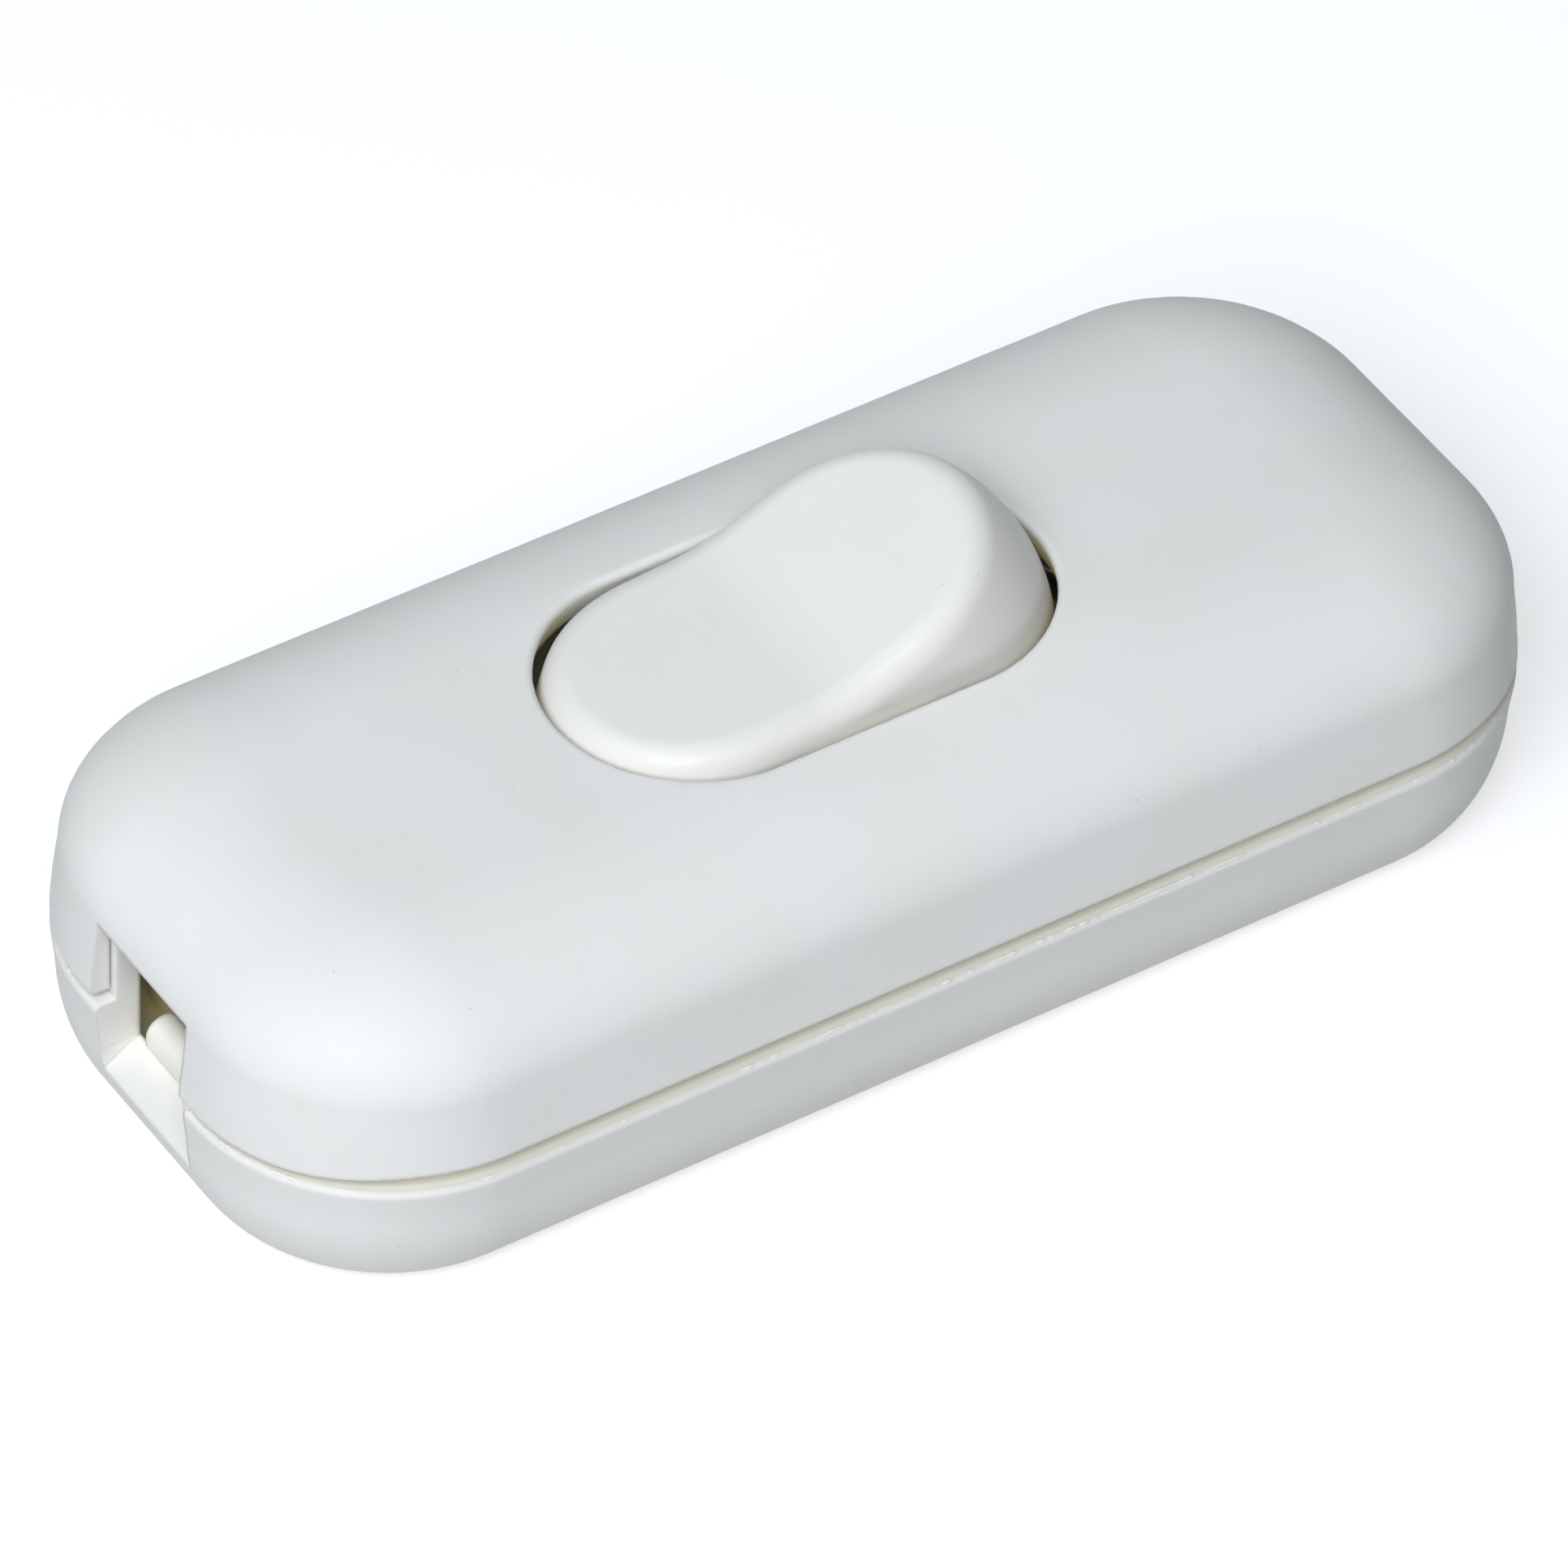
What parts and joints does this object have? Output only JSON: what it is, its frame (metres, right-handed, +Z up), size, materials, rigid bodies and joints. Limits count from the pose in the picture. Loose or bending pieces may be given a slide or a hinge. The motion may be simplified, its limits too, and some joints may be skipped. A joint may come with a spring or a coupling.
{
  "type": "inline cord switch",
  "caption": "Rounded oblong split plastic housing with a vee-topped rocker in a slot-shaped opening and a cord inlet at each end, for switching a lamp or appliance lead.",
  "frame": {"origin": "centre of the underside of the base", "axes": "+X along the housing from the left cord inlet to the right one, +Z up out of the rocker, +Y across the housing"},
  "size_m": [0.065, 0.028, 0.0201],
  "materials": {
    "housing_plastic": "satin moulded white plastic",
    "rocker_plastic": "semi-gloss moulded white plastic",
    "plunger_plastic": "natural moulded plastic",
    "clamp_plastic": "moulded white plastic",
    "spring_steel": "drawn spring wire",
    "screw_steel": "zinc plated",
    "contact_metal": "silver alloy",
    "brass": "stamped and machined brass"
  },
  "bodies": {
    "housing": {"base": "housing_plastic", "upper_cover": "housing_plastic", "fixed_contact": "contact_metal", "line_strap": "brass", "load_strap": "brass", "neutral_link": "brass", "line_block": "brass", "load_block": "brass", "neutral_block_left": "brass", "neutral_block_right": "brass", "cord_clamp_left": "clamp_plastic", "cord_clamp_right": "clamp_plastic", "terminal_screws": "screw_steel", "clamp_screws": "screw_steel", "case_screws": "screw_steel"},
    "rocker": {"rocker": "rocker_plastic", "plunger_spring": "spring_steel"},
    "plunger": {"plunger": "plunger_plastic"},
    "seesaw": {"contact_seesaw": "brass", "moving_contact": "contact_metal"}
  },
  "joints": [
    {"name": "rocker_pivot", "type": "hinge", "parent": "housing", "child": "rocker", "pos_m": [0, 0, 0.0111], "axis": [0, 1, 0], "range_deg": [0, 27.3]},
    {"name": "plunger_slide", "type": "slide", "parent": "rocker", "child": "plunger", "axis": [-0.236, 0, 0.9718], "range_m": [0, 0.0006], "stiffness_N_per_m": 400, "springref_m": -0.0005, "deforming": ["plunger_spring"]},
    {"name": "seesaw_pivot", "type": "hinge", "parent": "housing", "child": "seesaw", "pos_m": [0, 0, 0.0047], "axis": [0, 1, 0], "range_deg": [-13, 0]}
  ],
  "couplings": [
    {"joint": "seesaw_pivot", "follows": "rocker_pivot", "ratio": -0.47619}
  ]
}
